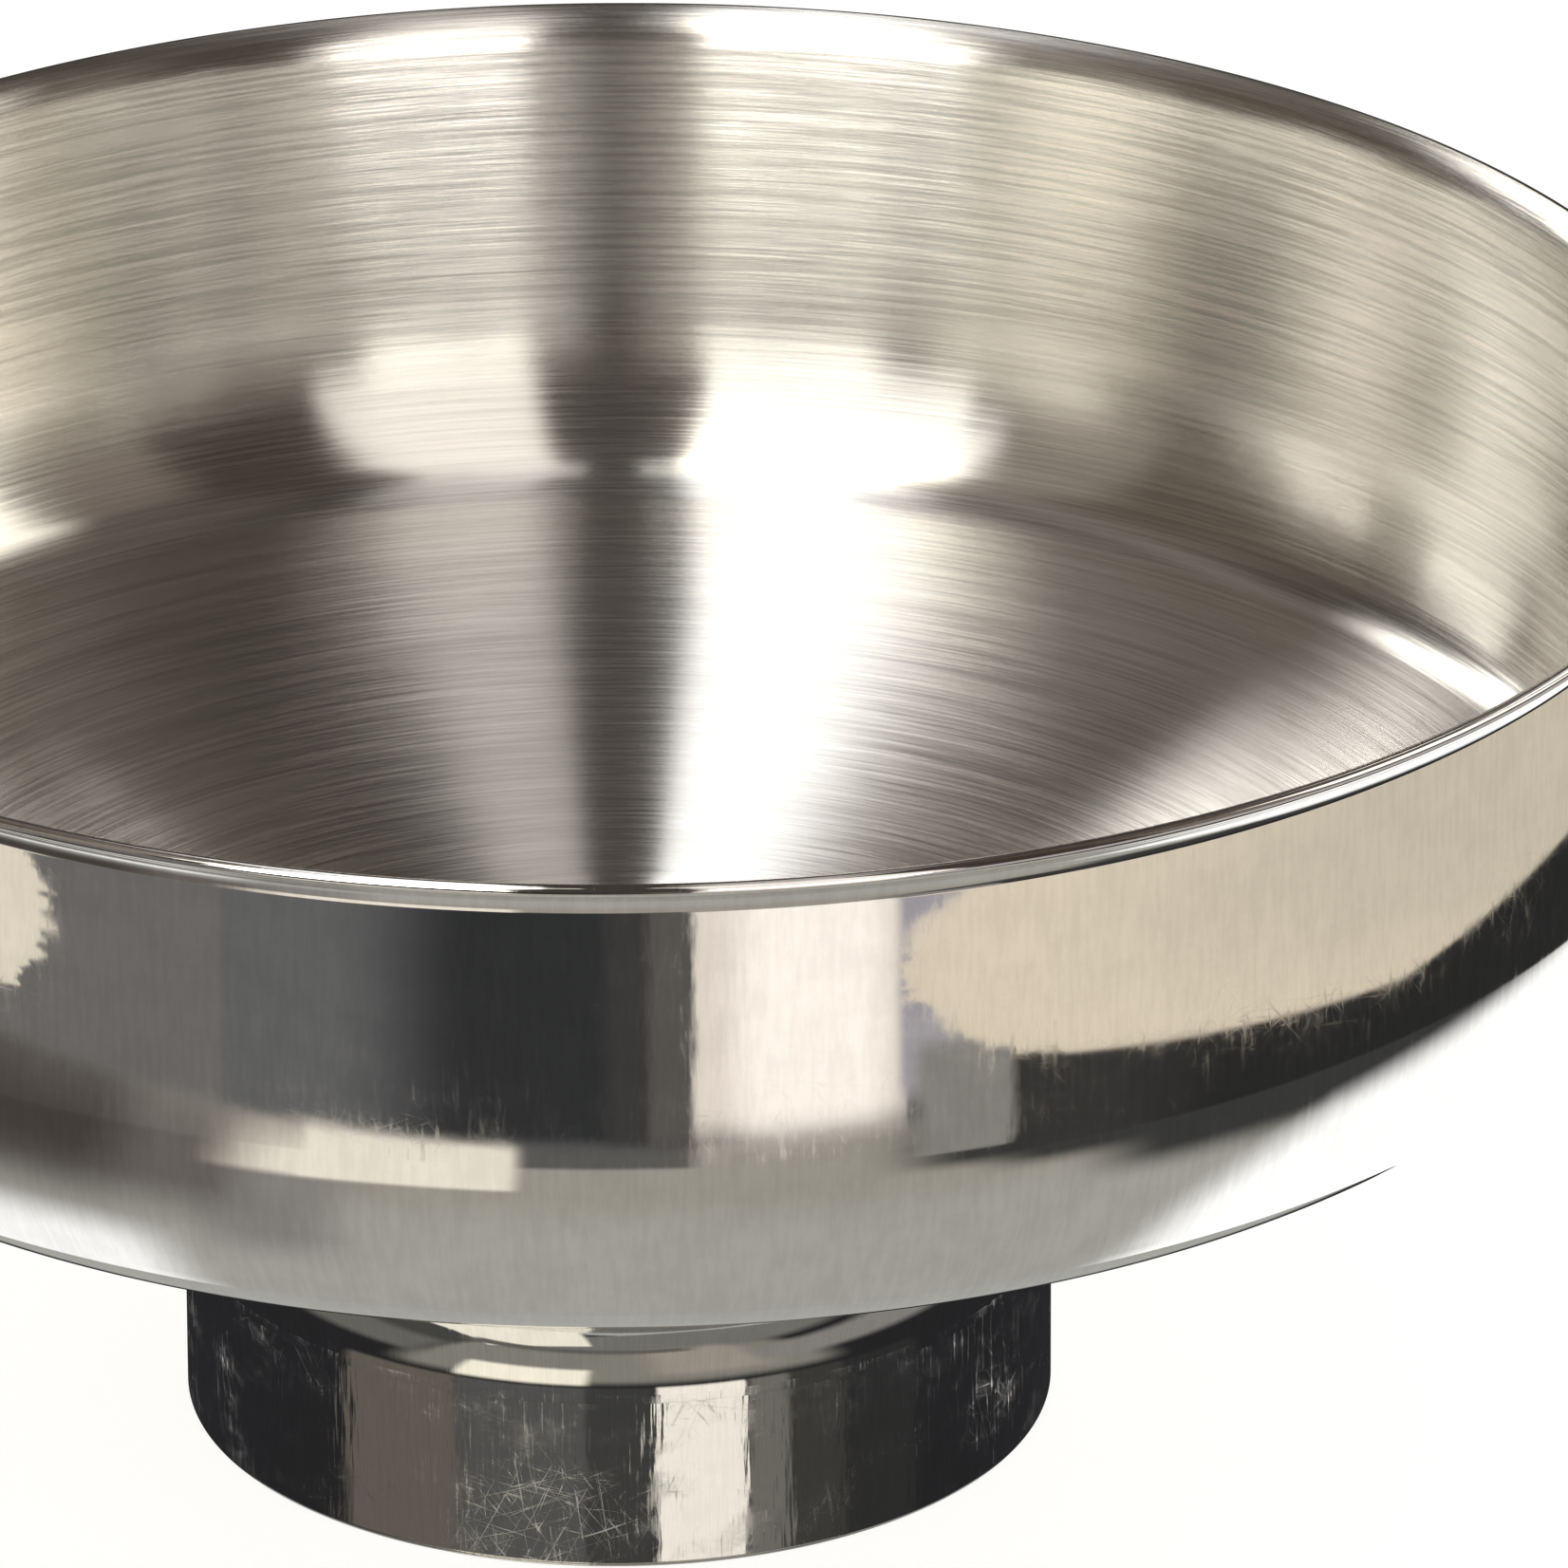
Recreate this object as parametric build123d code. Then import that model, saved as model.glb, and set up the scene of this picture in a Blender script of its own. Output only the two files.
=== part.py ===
"""Wide-mouth canning funnel in stainless steel sheet.

Three pieces, all turned round the Z axis: a drawn bowl with a flared lip, a short
straight spout that drops into the mouth of a jar, and the weld ring that joins them.

Units are millimetres. The origin is the centre of the spout's lower edge, where the
funnel stands on a table, and +Z points up out of the bowl.
"""
from build123d import *
from math import cos, radians, sin, tan
import os

# Overall
RIM_DIAMETER = 140.0      # outermost edge of the lip
HEIGHT = 66.2             # from the spout's lower edge to the top of the lip
SHEET = 0.8               # steel thickness everywhere

# Spout and weld
SPOUT_DIAMETER = 55.0     # outside
SPOUT_HEIGHT = 11.4
EDGE_ROUND = 0.38         # deburred edges of the sheet
WELD_HEIGHT = 0.6
WELD_CROWN = 0.02         # how far the ground weld stands proud outside

# Bowl: a sloping floor, a knee bent in two steps, an upright wall and a flared lip
FLOOR_SLOPE = 24.5        # from horizontal
FLOOR_FOOT = 17.7         # height where the floor's slope would meet the spout's wall
NECK_RADIUS = 8.4         # outside fillet between spout and floor
KNEE_SLOPE = 57.0         # from horizontal, midway round the knee
KNEE_TOP = 41.4           # height where the knee's slope would meet the wall
LOWER_KNEE_RADIUS = 8.0   # outside fillet between floor and knee
UPPER_KNEE_RADIUS = 20.0  # outside fillet between knee and wall
LIP_TURN = 70.0           # how far the lip turns outwards, from vertical
LIP_RADIUS = 1.8          # outside fillet under the lip
LIP_FLAT = 0.5            # straight end of the lip

# Worked out from the above
SPOUT_RADIUS = SPOUT_DIAMETER / 2
WELD_TOP = SPOUT_HEIGHT + WELD_HEIGHT
LIP_OUT = sin(radians(LIP_TURN))     # the lip's direction, outwards
LIP_UP = cos(radians(LIP_TURN))      # and upwards


def lip_corners():
    """Corner under the lip and the lip's lower end, so that its round edge meets the rim."""
    corner = EDGE_ROUND * (LIP_OUT + LIP_UP - 1)
    end_r = RIM_DIAMETER / 2 + corner
    end_z = HEIGHT + corner - SHEET * LIP_OUT
    reach = LIP_RADIUS * tan(radians(LIP_TURN / 2)) + LIP_FLAT
    return (end_r - reach * LIP_OUT, end_z - reach * LIP_UP), (end_r, end_z)


def knee_foot(wall_radius):
    """Corner where the floor's slope meets the knee's slope."""
    floor_rise = tan(radians(FLOOR_SLOPE))
    knee_rise = tan(radians(KNEE_SLOPE))
    floor_at_wall = FLOOR_FOOT + (wall_radius - SPOUT_RADIUS) * floor_rise
    inset = (KNEE_TOP - floor_at_wall) / (knee_rise - floor_rise)
    return wall_radius - inset, KNEE_TOP - inset * knee_rise


def bowl_outside():
    """The bowl's outside line, from the weld up to the end of the lip."""
    lip_corner, lip_end = lip_corners()
    wall_radius = lip_corner[0]
    return FilletPolyline(
        (SPOUT_RADIUS, WELD_TOP),
        (SPOUT_RADIUS, FLOOR_FOOT),
        knee_foot(wall_radius),
        (wall_radius, KNEE_TOP),
        lip_corner,
        lip_end,
        radius=[NECK_RADIUS, LOWER_KNEE_RADIUS, UPPER_KNEE_RADIUS, LIP_RADIUS],
    )


def bowl_section():
    """Half section of the bowl: one sheet thickness inside the outside line."""
    with BuildSketch(Plane.XZ) as section:
        with BuildLine():
            bowl_outside()
            offset(amount=SHEET, side=Side.LEFT)
        make_face()
        along_lip = Axis((0, 0, 0), (LIP_OUT, 0, LIP_UP))
        fillet(section.vertices().sort_by(along_lip)[-2:], EDGE_ROUND)
    return section.sketch


def spout_section():
    """Half section of the spout: a straight wall with a rounded lower edge."""
    with BuildSketch(Plane.XZ) as section:
        with Locations((SPOUT_RADIUS - SHEET, 0)):
            Rectangle(SHEET, SPOUT_HEIGHT, align=(Align.MIN, Align.MIN))
        fillet(section.vertices().sort_by(Axis.Z)[:2], EDGE_ROUND)
    return section.sketch


def weld_section():
    """Half section of the weld: flush inside, slightly crowned outside."""
    inner = SPOUT_RADIUS - SHEET
    with BuildSketch(Plane.XZ) as section:
        with BuildLine():
            Polyline(
                (SPOUT_RADIUS, WELD_TOP),
                (inner, WELD_TOP),
                (inner, SPOUT_HEIGHT),
                (SPOUT_RADIUS, SPOUT_HEIGHT),
            )
            ThreePointArc(
                (SPOUT_RADIUS, SPOUT_HEIGHT),
                (SPOUT_RADIUS + WELD_CROWN, SPOUT_HEIGHT + WELD_HEIGHT / 2),
                (SPOUT_RADIUS, WELD_TOP),
            )
        make_face()
    return section.sketch


PIECES = {
    "bowl": bowl_section,
    "neck_weld": weld_section,
    "spout": spout_section,
}

os.makedirs("parts", exist_ok=True)
for name, section in PIECES.items():
    piece = revolve(section(), axis=Axis.Z)
    piece.label = name
    export_step(piece, f"parts/{name}.step")
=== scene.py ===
"""Canning funnel in stainless steel: brushed inside, mirror polished outside.

The three CAD pieces are stood for by finely turned ones with the same sizes, so that the
polished surfaces reflect cleanly. Everything is in metres, in the CAD frame.
"""

from math import atan2, cos, pi, radians, sin, tan

import bpy
from mathutils import Matrix, Vector


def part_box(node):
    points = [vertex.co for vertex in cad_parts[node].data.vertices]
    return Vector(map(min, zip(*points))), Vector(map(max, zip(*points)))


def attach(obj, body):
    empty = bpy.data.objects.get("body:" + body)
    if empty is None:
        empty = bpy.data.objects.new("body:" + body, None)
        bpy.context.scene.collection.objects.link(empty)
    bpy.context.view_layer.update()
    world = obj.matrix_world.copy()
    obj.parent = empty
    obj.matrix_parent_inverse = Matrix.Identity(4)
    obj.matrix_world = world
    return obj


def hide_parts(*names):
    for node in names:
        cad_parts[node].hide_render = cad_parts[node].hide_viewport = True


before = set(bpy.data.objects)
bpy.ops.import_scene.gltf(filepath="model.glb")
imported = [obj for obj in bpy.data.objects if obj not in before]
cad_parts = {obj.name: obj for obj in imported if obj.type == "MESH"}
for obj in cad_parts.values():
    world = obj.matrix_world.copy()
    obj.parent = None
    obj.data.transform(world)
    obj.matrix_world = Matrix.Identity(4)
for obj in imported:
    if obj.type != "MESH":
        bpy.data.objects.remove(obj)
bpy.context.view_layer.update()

# ---------------------------------------------------------------- sizes
RIM_RADIUS = min(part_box("bowl")[1].x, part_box("bowl")[1].y)
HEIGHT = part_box("bowl")[1].z
WELD_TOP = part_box("bowl")[0].z
SPOUT_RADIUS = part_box("spout")[1].x
SPOUT_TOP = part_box("spout")[1].z
WELD_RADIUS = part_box("neck_weld")[1].x

SHEET = 0.0008
EDGE_ROUND = 0.00038
FLOOR_SLOPE = radians(24.5)
FLOOR_FOOT = 0.0177
NECK_RADIUS = 0.0084
KNEE_SLOPE = radians(57.0)
KNEE_TOP = 0.0414
LOWER_KNEE_RADIUS = 0.008
UPPER_KNEE_RADIUS = 0.020
LIP_TURN = radians(70.0)
LIP_RADIUS = 0.0018
LIP_FLAT = 0.0005
WELD_WEAR = 0.15              # what is left of the weld's crown

MILLIMETRES = 1000.0          # in a metre
DEGREES = 180 / pi            # in a radian

SEGMENTS = 512                # round the axis
LONGEST_STEP = 0.0012         # along a straight stretch of an outline
LEAST_STEP = 1e-7             # shorter steps are left out
ARC_STEP = radians(5.0)       # along a curved one


# ---------------------------------------------------------------- outlines
# An outline is a list of (point, normal) in the half plane (radius, height). It runs so
# that the steel is on its left and the normal points to its right.
def line(start, end, include_end=True):
    """Straight stretch, with points no further apart than LONGEST_STEP."""
    start, end = Vector(start), Vector(end)
    run = end - start
    normal = Vector((run.y, -run.x)).normalized()
    steps = max(1, round(run.length / LONGEST_STEP))
    return [(start + run * (i / steps), normal) for i in range(steps + include_end)]


def arc(centre, radius, start, end):
    """Stretch of a circle between two angles; it turns left round material, right round air."""
    steps = max(2, round(abs(end - start) / ARC_STEP))
    side = 1 if end > start else -1
    spokes = [start + (end - start) * i / steps for i in range(steps + 1)]
    spokes = [Vector((cos(a), sin(a))) for a in spokes]
    return [(centre + spoke * radius, spoke * side) for spoke in spokes]


def rounded(corners, radii):
    """Outline through the corners, with each inner corner rounded to its radius."""
    outline = []
    here = Vector(corners[0])
    for before, corner, after, radius in zip(corners, corners[1:], corners[2:], radii):
        corner = Vector(corner)
        into = (corner - Vector(before)).normalized()
        out = (Vector(after) - corner).normalized()
        turn = atan2(into.x * out.y - into.y * out.x, into.dot(out))
        side = 1 if turn > 0 else -1
        arc_start = corner - into * radius * tan(abs(turn) / 2)
        centre = arc_start + Vector((-into.y, into.x)) * radius * side
        first = arc_start - centre
        angle = atan2(first.y, first.x)
        outline += line(here, arc_start, include_end=False)
        outline += arc(centre, radius, angle, angle + turn)[:-1]
        here = centre + Vector((cos(angle + turn), sin(angle + turn))) * radius
    return outline + line(here, corners[-1])


def other_face(outline):
    """The far side of the sheet, run backwards."""
    return [(point - normal * SHEET, -normal) for point, normal in reversed(outline)]


def lip_corners():
    """Corner under the lip and the lip's lower end, as on the CAD bowl."""
    out, up = sin(LIP_TURN), cos(LIP_TURN)
    corner = EDGE_ROUND * (out + up - 1)
    end = Vector((RIM_RADIUS + corner, HEIGHT + corner - SHEET * out))
    reach = LIP_RADIUS * tan(LIP_TURN / 2) + LIP_FLAT
    return end - Vector((out, up)) * reach, end


def knee_foot(wall_radius):
    """Corner where the floor's slope meets the knee's slope."""
    floor_rise, knee_rise = tan(FLOOR_SLOPE), tan(KNEE_SLOPE)
    floor_at_wall = FLOOR_FOOT + (wall_radius - SPOUT_RADIUS) * floor_rise
    inset = (KNEE_TOP - floor_at_wall) / (knee_rise - floor_rise)
    return Vector((wall_radius - inset, KNEE_TOP - inset * knee_rise))


def bowl_outline():
    """Up the outside, round the lip's edge, down the inside and across the neck's end."""
    lip_corner, lip_end = lip_corners()
    along = Vector((sin(LIP_TURN), cos(LIP_TURN)))
    half = SHEET / 2
    outside = rounded(
        [(SPOUT_RADIUS, WELD_TOP), (SPOUT_RADIUS, FLOOR_FOOT), knee_foot(lip_corner.x),
         (lip_corner.x, KNEE_TOP), lip_corner, lip_end - along * half],
        [NECK_RADIUS, LOWER_KNEE_RADIUS, UPPER_KNEE_RADIUS, LIP_RADIUS],
    )
    heading = atan2(along.y, along.x)
    edge_centre = lip_end - along * half + Vector((-along.y, along.x)) * half
    return {
        "outside": outside,
        "edge": arc(edge_centre, half, heading - pi / 2, heading + pi / 2),
        "inside": other_face(outside),
        "joint": line((SPOUT_RADIUS - SHEET, WELD_TOP), (SPOUT_RADIUS, WELD_TOP)),
    }


def weld_outline():
    """A crown outside that polishing has worn nearly flat, ground flush inside."""
    middle = (SPOUT_TOP + WELD_TOP) / 2
    half = (WELD_TOP - SPOUT_TOP) / 2
    crown = (WELD_RADIUS - SPOUT_RADIUS) * WELD_WEAR
    radius = (half ** 2 + crown ** 2) / (2 * crown)
    reach = atan2(half, radius - crown)
    centre = Vector((SPOUT_RADIUS + crown - radius, middle))
    inner = SPOUT_RADIUS - SHEET
    return {
        "outside": arc(centre, radius, -reach, reach),
        "top": line((SPOUT_RADIUS, WELD_TOP), (inner, WELD_TOP)),
        "inside": line((inner, WELD_TOP), (inner, SPOUT_TOP)),
        "bottom": line((inner, SPOUT_TOP), (SPOUT_RADIUS, SPOUT_TOP)),
    }


def spout_outline():
    """A straight wall with a rounded lower edge."""
    half = SHEET / 2
    inner = SPOUT_RADIUS - SHEET
    return {
        "outside": line((SPOUT_RADIUS, half), (SPOUT_RADIUS, SPOUT_TOP)),
        "joint": line((SPOUT_RADIUS, SPOUT_TOP), (inner, SPOUT_TOP)),
        "inside": line((inner, SPOUT_TOP), (inner, half)),
        "edge": arc(Vector((inner + half, half)), half, pi, 2 * pi),
    }


def turned(name, outline, finishes):
    """Turns a closed outline round the axis. finishes maps each stretch to its material.

    Two corner attributes carry the turned coordinates, in millimetres where they are
    lengths: "turned" is (sin, -cos, distance along the outline), and "skin" is (distance
    round the piece's widest circle from the front, distance along the outline, height).
    """
    materials = list(dict.fromkeys(finishes.values()))
    steps = []          # (start, normal there, normal at the end, material, from, to)
    travelled = 0.0
    for stretch, points in outline.items():
        for (start, normal), (end, end_normal) in zip(points, points[1:]):
            length = (end - start).length
            if length < LEAST_STEP:
                continue
            slot = materials.index(finishes[stretch])
            steps.append((start, normal, end_normal, slot, travelled, travelled + length))
            travelled += length
    widest = max(start.x for start, *_ in steps)
    levels = [start.y for start, *_ in steps]
    count = len(steps)
    angles = [2 * pi * i / SEGMENTS for i in range(SEGMENTS + 1)]
    spokes = [(sin(a), -cos(a)) for a in angles]
    corners = [
        (start.x * x, start.x * y, start.y)
        for x, y in spokes[:-1] for start, *_ in steps
    ]
    faces, normals, slots, turned_at, skin_at = [], [], [], [], []
    for i in range(SEGMENTS):
        near, far = i * count, (i + 1) % SEGMENTS * count
        lap = 2 * pi if i >= SEGMENTS // 2 else 0.0      # the skin's seam is at the back
        for k, (_, normal, end_normal, slot, begin, end) in enumerate(steps):
            after = (k + 1) % count
            faces.append((near + k, far + k, far + after, near + after))
            slots.append(slot)
            for side, turn, up, reach, level in (
                (i, angles[i], normal, begin, levels[k]),
                (i + 1, angles[i + 1], normal, begin, levels[k]),
                (i + 1, angles[i + 1], end_normal, end, levels[after]),
                (i, angles[i], end_normal, end, levels[after]),
            ):
                x, y = spokes[side]
                normals.append((up.x * x, up.x * y, up.y))
                along = reach * MILLIMETRES
                round_axis = (turn - lap) * widest * MILLIMETRES
                turned_at += (x, y, along)
                skin_at += (round_axis, along, level * MILLIMETRES)
    mesh = bpy.data.meshes.new(name)
    mesh.from_pydata(corners, [], faces)
    for material in materials:
        mesh.materials.append(material)
    mesh.polygons.foreach_set("material_index", slots)
    mesh.polygons.foreach_set("use_smooth", [True] * len(faces))
    for label, values in (("turned", turned_at), ("skin", skin_at)):
        layer = mesh.attributes.new(label, "FLOAT_VECTOR", "CORNER")
        layer.data.foreach_set("vector", values)
    mesh.normals_split_custom_set(normals)
    piece = bpy.data.objects.new(name, mesh)
    bpy.context.scene.collection.objects.link(piece)
    return piece


# ---------------------------------------------------------------- node helpers
class Graph:
    """Short calls for building a node tree. Sockets or plain values go in, sockets come out."""

    def __init__(self, tree):
        self.tree = tree

    def node(self, kind, **settings):
        made = self.tree.nodes.new(kind)
        for key, value in settings.items():
            setattr(made, key, value)
        return made

    def feed(self, socket, value):
        if isinstance(value, bpy.types.NodeSocket):
            self.tree.links.new(value, socket)
        else:
            socket.default_value = value

    def maths(self, operation, first, second=0.0, third=0.0):
        made = self.node("ShaderNodeMath", operation=operation)
        for socket, value in zip(made.inputs, (first, second, third)):
            self.feed(socket, value)
        return made.outputs[0]

    def vector_maths(self, operation, first, second=(0, 0, 0)):
        made = self.node("ShaderNodeVectorMath", operation=operation)
        self.feed(made.inputs[0], first)
        self.feed(made.inputs[1], second)
        return made.outputs["Value" if operation in ("LENGTH", "DOT_PRODUCT") else "Vector"]

    def scaled(self, vector, amount):
        made = self.node("ShaderNodeVectorMath", operation="SCALE")
        self.feed(made.inputs[0], vector)
        self.feed(made.inputs["Scale"], amount)
        return made.outputs["Vector"]

    def split(self, vector):
        made = self.node("ShaderNodeSeparateXYZ")
        self.feed(made.inputs[0], vector)
        return made.outputs

    def join(self, x, y, z=0.0):
        made = self.node("ShaderNodeCombineXYZ")
        for socket, value in zip(made.inputs, (x, y, z)):
            self.feed(socket, value)
        return made.outputs[0]

    def attribute(self, name):
        return self.node("ShaderNodeAttribute", attribute_name=name).outputs["Vector"]

    def noise(self, vector, scale=1.0, detail=2.0, roughness=0.5):
        made = self.node("ShaderNodeTexNoise")
        self.feed(made.inputs["Vector"], vector)
        made.inputs["Scale"].default_value = scale
        made.inputs["Detail"].default_value = detail
        made.inputs["Roughness"].default_value = roughness
        return made.outputs["Fac"]

    def speckle(self, vector, spacing, radius):
        """1 on small dots, about spacing apart, and 0 between them."""
        made = self.node("ShaderNodeTexVoronoi")
        self.feed(made.inputs["Vector"], vector)
        made.inputs["Scale"].default_value = 1 / spacing
        reach = radius / spacing
        return self.fit(made.outputs["Distance"], reach, reach * 1.6, 1.0, 0.0)

    def fit(self, value, low, high, to_low=0.0, to_high=1.0, smooth=True):
        """value from low..high mapped to to_low..to_high, and held at the ends."""
        made = self.node("ShaderNodeMapRange")
        made.interpolation_type = "SMOOTHSTEP" if smooth else "LINEAR"
        for socket, number in zip(made.inputs, (value, low, high, to_low, to_high)):
            self.feed(socket, number)
        return made.outputs[0]

    def blend(self, share, first, second):
        """Colour mix: first at share 0, second at share 1."""
        made = self.node("ShaderNodeMix", data_type="RGBA")
        self.feed(made.inputs["Factor"], share)
        for socket, value in zip((made.inputs[6], made.inputs[7]), (first, second)):
            self.feed(socket, value if isinstance(value, bpy.types.NodeSocket) else (*value, 1))
        return made.outputs[2]

    def between(self, value, low, high, soft):
        """1 between low and high, falling to 0 over soft at each end."""
        rising = self.fit(value, low - soft / 2, low + soft / 2)
        falling = self.fit(value, high - soft / 2, high + soft / 2, 1.0, 0.0)
        return self.maths("MULTIPLY", rising, falling)

    def patch(self, under, across, up, colour):
        """Paints a soft-edged rectangle over a colour. across and up are
        (socket, low, high, soft)."""
        mask = self.maths("MULTIPLY", self.between(*across), self.between(*up))
        return self.blend(mask, under, colour)


# ---------------------------------------------------------------- materials
BRUSHED_TONES = (0.72, 0.705, 0.675), (0.92, 0.905, 0.875)
WALL_TONES = (0.76, 0.745, 0.71), (1.0, 0.985, 0.95)
POLISHED_TONES = (0.75, 0.74, 0.72), (0.84, 0.83, 0.81)
SPECK_TONE = (0.98, 0.97, 0.95)
SPECK_SPACING = 25.0          # millimetres, as all lengths on the steel's skin
SPECK_RADIUS = 0.15
WALL_BRUSHING = 43, 49        # heights where the coarser brushing sets in


def steel(name):
    """A metal material, its graph and its Principled shader."""
    made = bpy.data.materials.new(name)
    made.use_nodes = True
    shader = made.node_tree.nodes["Principled BSDF"]
    shader.inputs["Metallic"].default_value = 1.0
    return made, Graph(made.node_tree), shader


def leaned_normal(graph, along_profile, sideways):
    """The surface's normal, leaned by two small amounts: along the profile and sideways."""
    normal = graph.node("ShaderNodeNewGeometry").outputs["Normal"]
    around = graph.vector_maths("CROSS_PRODUCT", (0, 0, 1), normal)
    around = graph.vector_maths("NORMALIZE", around)
    profile = graph.vector_maths("CROSS_PRODUCT", normal, around)
    lean = graph.vector_maths("ADD", normal, graph.scaled(profile, along_profile))
    lean = graph.vector_maths("ADD", lean, graph.scaled(around, sideways))
    return graph.vector_maths("NORMALIZE", lean)


def brushed():
    """Inside of the bowl: fine lines round the axis, as a rotating brush leaves them. The
    wall is brushed more coarsely than the knee and the floor."""
    made, graph, shader = steel("brushed_steel")
    place = graph.attribute("turned")
    lines = graph.noise(graph.vector_maths("MULTIPLY", place, (3, 3, 5)), detail=4, roughness=0.7)
    broad = graph.noise(graph.vector_maths("MULTIPLY", place, (2, 2, 0.7)), detail=3)
    tone = graph.maths("ADD", graph.maths("MULTIPLY", lines, 0.7), graph.maths("MULTIPLY", broad, 0.3))
    colour = graph.blend(graph.fit(tone, 0.35, 0.65), *BRUSHED_TONES)
    finer = graph.noise(graph.vector_maths("MULTIPLY", place, (5, 5, 60)), detail=2, roughness=0.7)
    streaks = graph.noise(graph.vector_maths("MULTIPLY", place, (3, 3, 2.6)), detail=4, roughness=0.75)
    whiter = graph.blend(graph.fit(streaks, 0.38, 0.58), *WALL_TONES)
    skin = graph.attribute("skin")
    height = graph.split(skin)[2]
    coarse = graph.fit(height, *WALL_BRUSHING)
    specks = graph.speckle(skin, SPECK_SPACING, SPECK_RADIUS)
    colour = graph.blend(coarse, colour, whiter)
    graph.feed(shader.inputs["Base Color"], graph.blend(specks, colour, SPECK_TONE))
    rough = graph.fit(lines, 0.3, 0.7, 0.14, 0.19)
    rough = graph.maths("MULTIPLY_ADD", coarse, 0.04, rough)
    rough = graph.maths("MULTIPLY_ADD", specks, 0.5, rough)
    graph.feed(shader.inputs["Roughness"], rough)
    shader.inputs["Anisotropic"].default_value = 1.0
    shader.inputs["Anisotropic Rotation"].default_value = 0.25
    around = graph.node("ShaderNodeTangent", direction_type="RADIAL", axis="Z")
    graph.feed(shader.inputs["Tangent"], around.outputs[0])
    sway = graph.fit(coarse, 0, 1, 0.25, 1.6)
    sway = graph.maths("MULTIPLY", graph.maths("SUBTRACT", finer, 0.5), sway)
    lean = graph.maths("MULTIPLY_ADD", graph.maths("SUBTRACT", lines, 0.5), 0.12, sway)
    graph.feed(shader.inputs["Normal"], leaned_normal(graph, lean, 0.0))
    return made


def hairlines(graph, place, angle, length, spacing, width):
    """Thin wandering lines in one direction: the level lines of a stretched noise."""
    along = graph.vector_maths("DOT_PRODUCT", place, (cos(angle), sin(angle), 0))
    across = graph.vector_maths("DOT_PRODUCT", place, (-sin(angle), cos(angle), 0))
    stretched = graph.join(
        graph.maths("MULTIPLY", along, 1 / length),
        graph.maths("MULTIPLY", across, 1 / spacing),
        angle * 10,
    )
    level = graph.noise(stretched, detail=1)
    off = graph.maths("ABSOLUTE", graph.maths("SUBTRACT", level, 0.5))
    where = graph.noise(stretched, scale=0.9, detail=0)
    return graph.maths(
        "MULTIPLY", graph.fit(off, 0.0, width, 1.0, 0.0), graph.fit(where, 0.52, 0.62)
    )


def polished(name, scratching, uprights, smudge, worn_at):
    """A mirror polish with hairline scratches, faint upright polishing lines and smudges.
    worn_at is the middle of the most worn zone round the piece and up it, and the zone's
    reach both ways, in millimetres."""
    made, graph, shader = steel(name)
    skin = graph.attribute("skin")
    turn = graph.attribute("turned")
    scratches = hairlines(graph, skin, radians(64), 9.0, 0.3, 0.03)
    for angle, length, spacing, width in (
        (radians(-52), 8.0, 0.3, 0.03),
        (radians(21), 9.0, 0.35, 0.025),
        (radians(98), 8.0, 0.25, 0.03),
        (radians(-12), 7.0, 0.35, 0.025),
    ):
        more = hairlines(graph, skin, angle, length, spacing, width)
        scratches = graph.maths("MAXIMUM", scratches, more)
    round_middle, up_middle, round_reach, up_reach = worn_at
    beside, _, height = graph.split(skin)
    beside = graph.maths("DIVIDE", graph.maths("SUBTRACT", beside, round_middle), round_reach)
    above = graph.maths("DIVIDE", graph.maths("SUBTRACT", height, up_middle), up_reach)
    worn = graph.fit(graph.vector_maths("LENGTH", graph.join(beside, above)), 0.5, 1.1, 1.0, 0.12)
    elsewhere = graph.fit(graph.noise(skin, scale=0.12, detail=2), 0.48, 0.66, 0.0, 0.5)
    worn = graph.maths("MAXIMUM", worn, elsewhere)
    scratches = graph.maths("MULTIPLY", scratches, worn)
    upright = graph.noise(graph.vector_maths("MULTIPLY", turn, (150, 150, 0.3)), detail=3, roughness=0.6)
    patchy = graph.noise(graph.vector_maths("MULTIPLY", turn, (9, 9, 0.1)), detail=2)
    patchy = graph.fit(patchy, 0.38, 0.6, 0.2, 1.0)
    lines = graph.maths("MULTIPLY", graph.maths("SUBTRACT", upright, 0.5), patchy)
    sideways = graph.maths("MULTIPLY", lines, uprights)
    graph.feed(shader.inputs["Normal"], leaned_normal(graph, 0.0, sideways))
    clouds = graph.noise(skin, scale=0.25, detail=5, roughness=0.65)
    tone = graph.maths("MULTIPLY_ADD", clouds, 0.5, graph.maths("MULTIPLY", upright, 0.5))
    colour = graph.blend(graph.fit(tone, 0.35, 0.65), *POLISHED_TONES)
    graph.feed(shader.inputs["Base Color"], colour)
    haze = graph.fit(clouds, 0.4, 0.7, 0.02, smudge)
    streaks = graph.maths("MULTIPLY", graph.fit(upright, 0.52, 0.7), patchy)
    haze = graph.maths("MULTIPLY_ADD", streaks, smudge, haze)
    haze = graph.maths("MULTIPLY_ADD", scratches, scratching, haze)
    graph.feed(shader.inputs["Roughness"], haze)
    return made


# ---------------------------------------------------------------- pieces
inside_finish = brushed()
bowl_finish = polished("polished_bowl", 0.12, 0.02, 0.05, (0.0, 28.5, 90.0, 2.5))
spout_finish = polished("polished_spout", 0.28, 0.25, 0.15, (-4.5, 3.0, 7.0, 5.5))

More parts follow.
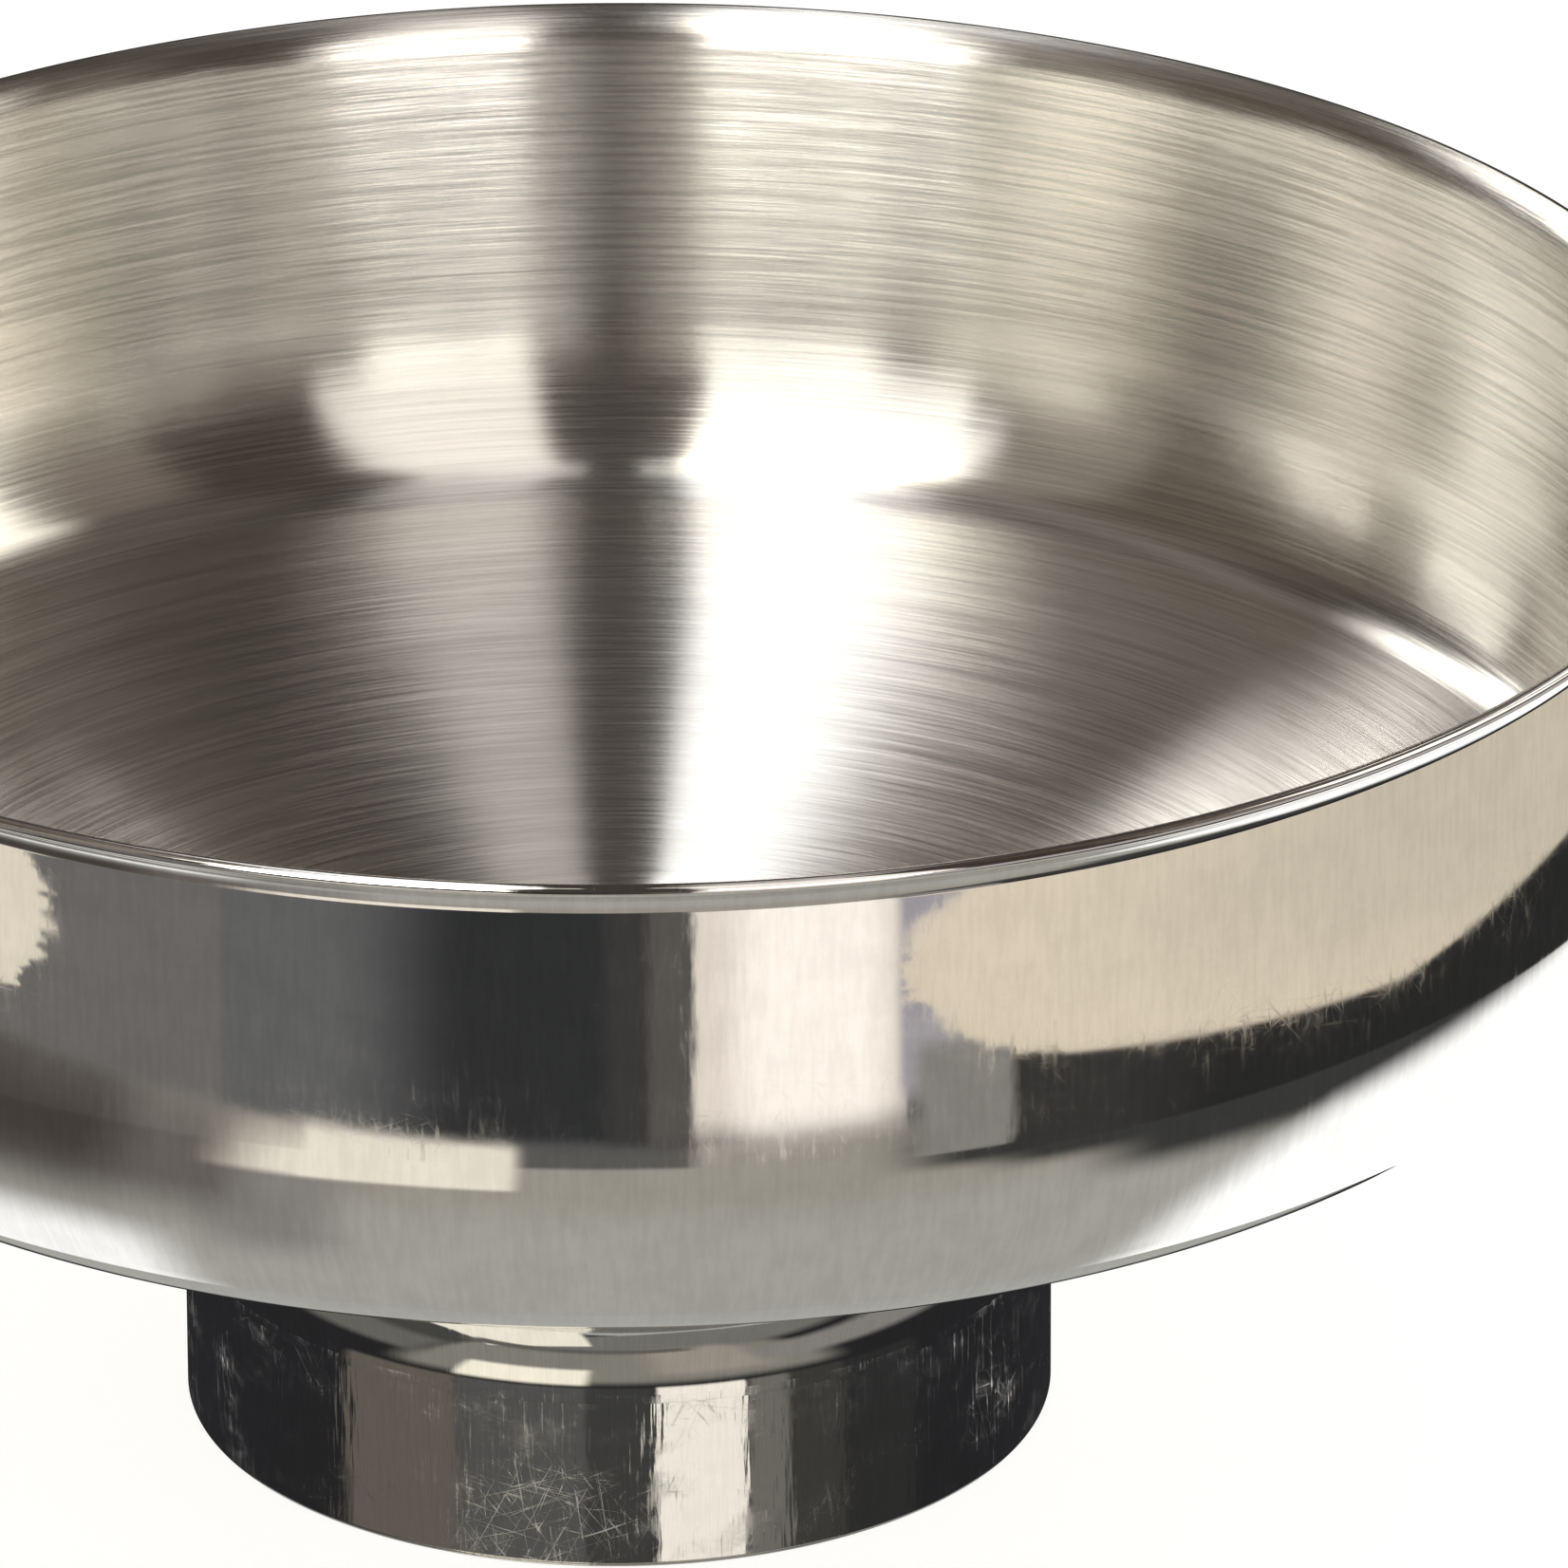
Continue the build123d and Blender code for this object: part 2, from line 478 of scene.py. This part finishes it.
bowl = turned("bowl_steel", bowl_outline(), {
    "outside": bowl_finish, "edge": bowl_finish,
    "inside": inside_finish, "joint": inside_finish,
})
weld = turned("neck_weld_bead", weld_outline(), {
    "outside": spout_finish, "top": spout_finish,
    "inside": inside_finish, "bottom": spout_finish,
})
spout = turned("spout_steel", spout_outline(), {
    "outside": spout_finish, "joint": spout_finish,
    "inside": inside_finish, "edge": spout_finish,
})
for piece, node, slot in (
    (bowl, "bowl", "bowl_steel"),
    (weld, "neck_weld", "weld_steel"),
    (spout, "spout", "spout_steel"),
):
    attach(piece, "root")
    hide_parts(node)


# ---------------------------------------------------------------- camera
CAMERA_DISTANCE = 1.1969      # from the middle of the funnel's axis
CAMERA_ELEVATION = radians(24.65)
PAN_RIGHT = radians(0.509)    # the funnel stands left of the middle of the frame
TILT_UP = radians(0.356)
ROLL = radians(-0.165)
LENS = 435.8                  # millimetres, on a 36 mm sensor


def aim_camera():
    """A long lens from the front and above."""
    data = bpy.data.cameras.new("camera")
    data.lens = LENS
    data.sensor_width = 36.0
    data.clip_start, data.clip_end = 0.01, 50.0
    camera = bpy.data.objects.new("camera", data)
    bpy.context.scene.collection.objects.link(camera)
    ahead = Vector((0, cos(CAMERA_ELEVATION), -sin(CAMERA_ELEVATION)))
    right = Vector((1, 0, 0))
    up = right.cross(ahead)
    camera_ahead = (
        (ahead * cos(PAN_RIGHT) + right * sin(PAN_RIGHT)) * cos(TILT_UP) + up * sin(TILT_UP)
    )
    level_right = camera_ahead.cross(Vector((0, 0, 1))).normalized()
    level_up = level_right.cross(camera_ahead)
    camera_right = level_right * cos(ROLL) + level_up * sin(ROLL)
    camera_up = level_up * cos(ROLL) - level_right * sin(ROLL)
    turn = Matrix((camera_right, camera_up, -camera_ahead)).transposed()
    target = Vector((0, 0, HEIGHT / 2))
    camera.matrix_world = Matrix.Translation(target - ahead * CAMERA_DISTANCE) @ turn.to_4x4()
    bpy.context.scene.camera = camera


aim_camera()

# ---------------------------------------------------------------- studio
# The camera sees a plain pale floor. The steel reflects a light tent instead: a table top round the
# funnel and a dome with panels, which only glossy rays see. Their patches are listed: far and near in
# millimetres, or low and high in degrees, then left and right in degrees, each with the width of its
# soft edge.
PAPER = (0.92, 0.91, 0.89)
FLOOR_RADIUS = 12.0
PINHOLE = 0.0001              # where a disc's faces meet
# the dark tent seen through this opening is painted shade: the table shaded by the bowl round the spout
TABLE_OPENING = 0.056         # lets the neck and the spout see the tent below
TABLE_RADIUS = 2.9
DOME_RADIUS = 3.0
DOME_ROWS = 32
STAGE_SIDES = 192
LEAST_RISE = 0.05             # keeps the overhead layout finite near the table


def staged(name, mesh, finish, camera):
    """A stage object that either the camera and soft light see, or only reflections do."""
    thing = bpy.data.objects.new(name, mesh)
    bpy.context.scene.collection.objects.link(thing)
    mesh.materials.append(finish)
    thing.visible_camera = camera
    thing.visible_diffuse = camera
    thing.visible_glossy = not camera
    thing.visible_shadow = camera
    return thing


def ring(name, inner, outer, height):
    """A flat ring. A tiny inner radius makes it a disc."""
    sides = STAGE_SIDES
    mesh = bpy.data.meshes.new(name)
    turns = [2 * pi * i / sides for i in range(sides)]
    corners = [(r * cos(a), r * sin(a), height) for r in (inner, outer) for a in turns]
    faces = [(i, (i + 1) % sides, sides + (i + 1) % sides, sides + i) for i in range(sides)]
    mesh.from_pydata(corners, [], faces)
    return mesh


def dome(name, radius):
    """A whole sphere round the origin, in rows of four-sided faces."""
    rows, columns = DOME_ROWS, 2 * DOME_ROWS
    mesh = bpy.data.meshes.new(name)
    corners = [
        (radius * cos(e) * cos(a), radius * cos(e) * sin(a), radius * sin(e))
        for e in [pi * (i / rows - 0.5) for i in range(rows + 1)]
        for a in [2 * pi * j / columns for j in range(columns)]
    ]
    faces = [
        (i * columns + j, i * columns + (j + 1) % columns,
         (i + 1) * columns + (j + 1) % columns, (i + 1) * columns + j)
        for i in range(rows) for j in range(columns)
    ]
    mesh.from_pydata(corners, [], faces)
    return mesh


def glowing(name):
    """A light-giving material and its graph; the caller feeds the colour."""
    made = bpy.data.materials.new(name)
    made.use_nodes = True
    made.node_tree.nodes.clear()
    graph = Graph(made.node_tree)
    light = graph.node("ShaderNodeEmission")
    out = graph.node("ShaderNodeOutputMaterial")
    graph.feed(out.inputs["Surface"], light.outputs[0])
    return made, graph, light


def compass(graph):
    """Place on a stage surface, and its bearing in degrees: 0 in front, 90 on the right."""
    place = graph.node("ShaderNodeNewGeometry").outputs["Position"]
    x, y, z = graph.split(place)
    bearing = graph.maths("ARCTAN2", x, graph.maths("MULTIPLY", y, -1.0))
    return x, y, z, graph.maths("MULTIPLY", bearing, DEGREES)


def table_with_painted_bowl_shadow(graph, away, bearing):
    """Colours that the sloping floor of the bowl reflects, near the funnel. The grey there is painted
    shade: the bowl's shadow on the table.
    """
    # painted shadow: the grey base colour and the first, wide patch stand for the table shaded by the
    # bowl
    colour = (0.386, 0.363, 0.315)
    for near, far, soft, left, right, blur, tint in (
        (0, 110, 40, -180, 180, 0.1, (0.43, 0.425, 0.39)),
        (80, 135, 20, -32, -22, 8, (0.28, 0.27, 0.255)),
        (95, 175, 40, -60, -30, 6, (0.16, 0.145, 0.135)),
        (105, 175, 50, -100, -41, 8, (0.07, 0.062, 0.055)),
        (50, 79, 18, -100, -38, 10, (1.15, 1.15, 1.15)),
        (131, 168, 10, -31, -21, 9, (0.95, 0.88, 0.76)),
        (131, 176, 5, -26, -8.3, 2, (1.0, 0.93, 0.80)),
        (161, 176, 8, -8, 6, 2, (0.13, 0.125, 0.12)),
        (134, 172, 16, 24, 130, 10, (0.05, 0.05, 0.05)),
        (125, 172, 16, 31, 130, 8, (0.05, 0.05, 0.05)),
        (106, 172, 20, 40, 130, 10, (0.05, 0.05, 0.05)),
    ):
        colour = graph.patch(colour, (away, near, far, soft), (bearing, left, right, blur), tint)
    # white paper at the right and behind, inside a curved edge
    edge = graph.fit(bearing, 40, 62, 58, 102, smooth=False)
    edge = graph.maths("ADD", edge, graph.fit(bearing, 62, 95, 0, 34, smooth=False))
    white = graph.fit(graph.maths("SUBTRACT", edge, away), -20, 8)
    white = graph.maths("MULTIPLY", white, graph.fit(bearing, 40, 52))
    colour = graph.blend(white, colour, (1.3, 1.3, 1.3))
    behind = graph.fit(graph.maths("ABSOLUTE", bearing), 110, 140)
    return graph.blend(behind, colour, (0.9, 0.9, 0.88))


def torn_board(graph, under, away, facing, tip, middle, bulge, start, tints):
    """A board of card with a rounded, torn end, painted over a colour. tip is the direction
    in degrees where it ends, middle the distance of its foremost point, bulge how fast the
    end falls back from there, and start the distance where the board begins."""
    side = 1 if tip > 0 else -1
    place = graph.join(graph.maths("MULTIPLY", facing, 0.4), away)
    ragged = graph.maths("SUBTRACT", graph.noise(place, scale=0.7, detail=4), 0.5)
    offset = graph.maths("SUBTRACT", away, middle)
    edge = graph.maths("MULTIPLY_ADD", graph.maths("MULTIPLY", offset, offset), bulge * side, tip)
    edge = graph.maths("MULTIPLY_ADD", ragged, 5.0, edge)
    past = graph.maths("MULTIPLY", graph.maths("SUBTRACT", facing, edge), side)
    begun = graph.fit(away, start, graph.maths("ADD", start, 1.0))
    inside = graph.maths("MULTIPLY", graph.fit(past, 0, 0.3), begun)
    tint = graph.blend(graph.fit(past, 2, 30), *tints)
    return graph.blend(inside, under, tint)


def table_beyond(graph, colour, away, bearing):
    """Colours that the upright wall reflects. They are laid out by the direction that the
    wall faces where it reflects them, so that upright edges come out upright."""
    wall = lip_corners()[0].x * MILLIMETRES
    spread = graph.maths("SUBTRACT", graph.maths("MULTIPLY", away, 2.0), wall)
    facing = graph.maths("DIVIDE", graph.maths("MULTIPLY", bearing, away), spread)
    for near, far, soft, left, right, blur, tint in (
        (171, 4000, 3, -100, 90, 0.5, (0.175, 0.168, 0.165)),
        (171, 4000, 3, -20.7, 90, 0.5, (0.145, 0.145, 0.147)),
        (171, 4000, 3, -11.5, 90, 8, (0.036, 0.037, 0.039)),
        (171, 4000, 3, -0.6, 4.4, 1.4, (0.055, 0.053, 0.052)),
        (171, 4000, 3, 1.6, 4.4, 1.0, (0.115, 0.108, 0.102)),
        (172, 4000, 7, 3.9, 15, 0.6, (0.92, 0.83, 0.74)),
        (172, 4000, 7, 6.2, 13.8, 3, (1.24, 1.14, 1.05)),
        (174, 4000, 6, 14.6, 90, 0.9, (0.42, 0.40, 0.43)),
        (150, 182, 4, 15.6, 90, 1.2, (0.28, 0.27, 0.25)),
        (140, 182, 4, 20.8, 90, 0.8, (0.045, 0.044, 0.042)),
        (140, 182, 4, 30, 90, 10, (0.027, 0.027, 0.027)),
    ):
        colour = graph.patch(colour, (away, near, far, soft), (facing, left, right, blur), tint)
    start = graph.fit(facing, 20, 46, 177, 163, smooth=False)
    colour = torn_board(
        graph, colour, away, facing, 14.6, 194, 0.024, start, ((0.86, 0.75, 0.60), (0.68, 0.61, 0.49))
    )
    return torn_board(
        graph, colour, away, facing, -30.4, 192, 0.0173, 172.0, ((0.90, 0.82, 0.68), (0.8, 0.72, 0.6))
    )


def table_top():
    """The table as the polished outside reflects it, open under the neck.
    Distances are millimetres from the axis and bearings are degrees."""
    made, graph, light = glowing("table_seen_in_steel")
    x, y, _, bearing = compass(graph)
    away = graph.maths("MULTIPLY", graph.vector_maths("LENGTH", graph.join(x, y)), MILLIMETRES)
    near = table_with_painted_bowl_shadow(graph, away, bearing)
    graph.feed(light.inputs["Color"], table_beyond(graph, near, away, bearing))
    table = ring("table_seen_in_steel", TABLE_OPENING, TABLE_RADIUS, 0.0)
    staged("table_seen_in_steel", table, made, False)


def tent_above(graph, height, bearing, aside, ahead):
    """Colours of the tent above the table, which the inside of the bowl reflects."""
    colour = (0.06, 0.052, 0.045)
    for low, high, soft, left, right, blur, tint in (
        # behind: lit panels with a dark gap in the middle
        (-2, 46, 8, 124, 162, 4, (3.4, 3.3, 3.1)),
        (-2, 46, 8, -162, -128, 4, (3.4, 3.3, 3.1)),
        # in front: dark at the sides, lit panels left and right of the camera
        (-2, 64, 6, 33, 110, 4, (0.055, 0.044, 0.035)),
        (-2, 44, 6, 54, 72, 5, (0.20, 0.165, 0.14)),
        (14, 44, 6, 74, 112, 5, (1.7, 1.6, 1.4)),
        (-2, 64, 6, -64, -46, 4, (0.26, 0.225, 0.19)),
        (-2, 64, 6, -104, -64, 4, (0.11, 0.09, 0.07)),
        (-2, 66, 6, 8.5, 33, 3, (1.12, 1.05, 0.96)),
        (-2, 28, 6, -40, -10.5, 1.5, (1.4, 1.35, 1.25)),
        (24, 66, 6, -46, -10.5, 3, (1.6, 1.55, 1.45)),
        (42, 66, 8, -47, -10.5, 2, (3.2, 3.0, 2.6)),
        (-2, 9, 4, 9, 29.5, 1.5, (8.0, 7.5, 7.2)),
        (-2, 9, 4, -37.5, -10, 1.5, (8.0, 7.7, 7.3)),
    ):
        colour = graph.patch(colour, (height, low, high, soft), (bearing, left, right, blur), tint)
    for left, right, blur, near, far, soft, tint in (
        # overhead: long strips from front to back
        (0.08, 0.26, 0.02, -0.42, 0.0, 0.1, (0.68, 0.64, 0.61)),
        (-0.38, -0.08, 0.02, -0.42, 0.0, 0.1, (1.5, 1.5, 1.5)),
        (0.042, 0.2, 0.01, -0.5, -0.36, 0.04, (1.3, 1.25, 1.2)),
        (-0.2, -0.042, 0.01, -0.5, -0.36, 0.04, (1.5, 1.5, 1.4)),
        (0.04, 0.165, 0.025, 0.0, 0.7, 0.1, (0.48, 0.45, 0.43)),
        (0.165, 0.21, 0.025, 0.0, 0.7, 0.1, (0.13, 0.12, 0.11)),
        (-0.25, -0.058, 0.01, 0.0, 0.7, 0.1, (1.5, 1.5, 1.5)),
        (-0.25, -0.215, 0.03, 0.0, 0.7, 0.1, (0.80, 0.77, 0.74)),
        (-0.30, -0.245, 0.025, -0.1, 0.7, 0.1, (0.33, 0.3, 0.28)),
        (-0.39, -0.30, 0.03, -0.1, 0.7, 0.1, (0.18, 0.16, 0.15)),
        (-0.64, -0.48, 0.03, -0.3, 1.2, 0.2, (0.22, 0.2, 0.18)),
        (0.39, 0.8, 0.03, -0.3, 1.2, 0.2, (0.11, 0.095, 0.08)),
    ):
        colour = graph.patch(colour, (aside, left, right, blur), (ahead, near, far, soft), tint)
    return colour


def tent_below(graph, height, bearing, x, y):
    """Colours below the table's level, which the neck and the spout reflect through the opening under
    the funnel. Its dark tones are painted shade: they stand for the table shaded by the bowl round the
    spout."""
    # painted shade: near black, for the table in the bowl's shadow
    colour = (0.022, 0.022, 0.024)
    for low, high, soft, left, right, blur, tint in (
        # what the rounded neck shows
        (-95, -33, 8, -64, 62, 14, (0.26, 0.25, 0.22)),
        (-95, -64, 6, -200, 200, 1, (0.20, 0.195, 0.18)),
        (-95, -45, 8, -112, -62, 8, (0.07, 0.07, 0.065)),
        (-68, -40, 8, 10, 46, 12, (0.37, 0.34, 0.29)),
        (-46, -31, 4, -46, -9, 4, (1.12, 1.05, 0.88)),
        (-58, -43, 6, 44, 110, 10, (0.27, 0.26, 0.245)),
        (-58, -43, 6, -110, -64, 10, (0.16, 0.155, 0.14)),
        (-95, -40, 8, 118, 200, 8, (0.44, 0.44, 0.42)),
        (-95, -40, 8, -200, -118, 8, (0.44, 0.44, 0.42)),
        (-22, -2, 3, 105, 163, 4, (2.0, 1.95, 1.85)),
        (-22, -2, 3, -163, -105, 4, (2.0, 1.95, 1.85)),
    ):
        colour = graph.patch(colour, (height, low, high, soft), (bearing, left, right, blur), tint)
    colour = graph.patch(colour, (x, -1.08, -0.22, 0.05), (y, -0.8, 0.45, 0.1), (1.0, 0.97, 0.82))
    colour = graph.patch(colour, (height, -69, -64.5, 2), (bearing, -70, 30, 10), (0.14, 0.135, 0.12))
    for low, high, soft, left, right, blur, tint in (
        # what the spout's wall shows, from left to right; its dark tones are painted shade under the
        # bowl
        (-28.5, -2, 3, -104, 104, 0.1, (0.022, 0.022, 0.024)),
        (-28.5, -2, 3, -77, -44, 5, (0.142, 0.126, 0.109)),
        (-28.5, -2, 3, -44, -8, 3, (0.10, 0.10, 0.098)),
        (-28.5, -2, 3, -9, 8.6, 3, (0.055, 0.055, 0.053)),
        (-28.5, -2, 3, 9.8, 33.6, 1.5, (1.08, 1.02, 0.91)),
        (-28.5, -2, 3, 34.5, 46, 3, (0.18, 0.175, 0.155)),
        (-28.5, -2, 3, 46, 62, 4, (0.055, 0.052, 0.048)),
        (-28.5, -2, 3, 62, 85, 4, (0.032, 0.032, 0.032)),
    ):
        colour = graph.patch(colour, (height, low, high, soft), (bearing, left, right, blur), tint)
    return colour


def light_tent():
    """A dome of light round the funnel. The strips overhead are laid out by how far aside
    and ahead they are for each metre up."""
    made, graph, light = glowing("light_tent")
    x, y, z, bearing = compass(graph)
    rise = graph.maths("ARCSINE", graph.maths("DIVIDE", z, DOME_RADIUS))
    height = graph.maths("MULTIPLY", rise, DEGREES)
    aside = graph.maths("DIVIDE", x, graph.maths("MAXIMUM", z, LEAST_RISE))
    ahead = graph.maths("DIVIDE", y, graph.maths("MAXIMUM", z, LEAST_RISE))
    above = tent_above(graph, height, bearing, aside, ahead)
    below = tent_below(graph, height, bearing, x, y)
    graph.feed(light.inputs["Color"], graph.blend(graph.fit(height, -2.2, -1.8), below, above))
    staged("light_tent", dome("light_tent", DOME_RADIUS), made, False)


def pale_floor():
    """What the camera sees: pale paper that keeps only a breath of shadow."""
    made = bpy.data.materials.new("pale_paper")
    made.use_nodes = True
    shader = made.node_tree.nodes["Principled BSDF"]
    shader.inputs["Base Color"].default_value = (0.2, 0.2, 0.2, 1)
    shader.inputs["Roughness"].default_value = 0.9
    shader.inputs["Specular IOR Level"].default_value = 0.0
    shader.inputs["Emission Color"].default_value = (*PAPER, 1)
    shader.inputs["Emission Strength"].default_value = 0.97
    staged("floor", ring("floor", PINHOLE, FLOOR_RADIUS, 0.0), made, True)


def soft_daylight():
    """A white surround for the camera and the floor."""
    world = bpy.data.worlds.new("white_surround")
    bpy.context.scene.world = world
    world.use_nodes = True
    surround = world.node_tree.nodes["Background"]
    surround.inputs["Color"].default_value = (1, 1, 1, 1)
    surround.inputs["Strength"].default_value = 1.0


table_top()
light_tent()
pale_floor()
soft_daylight()
bpy.context.scene.view_settings.view_transform = "Standard"
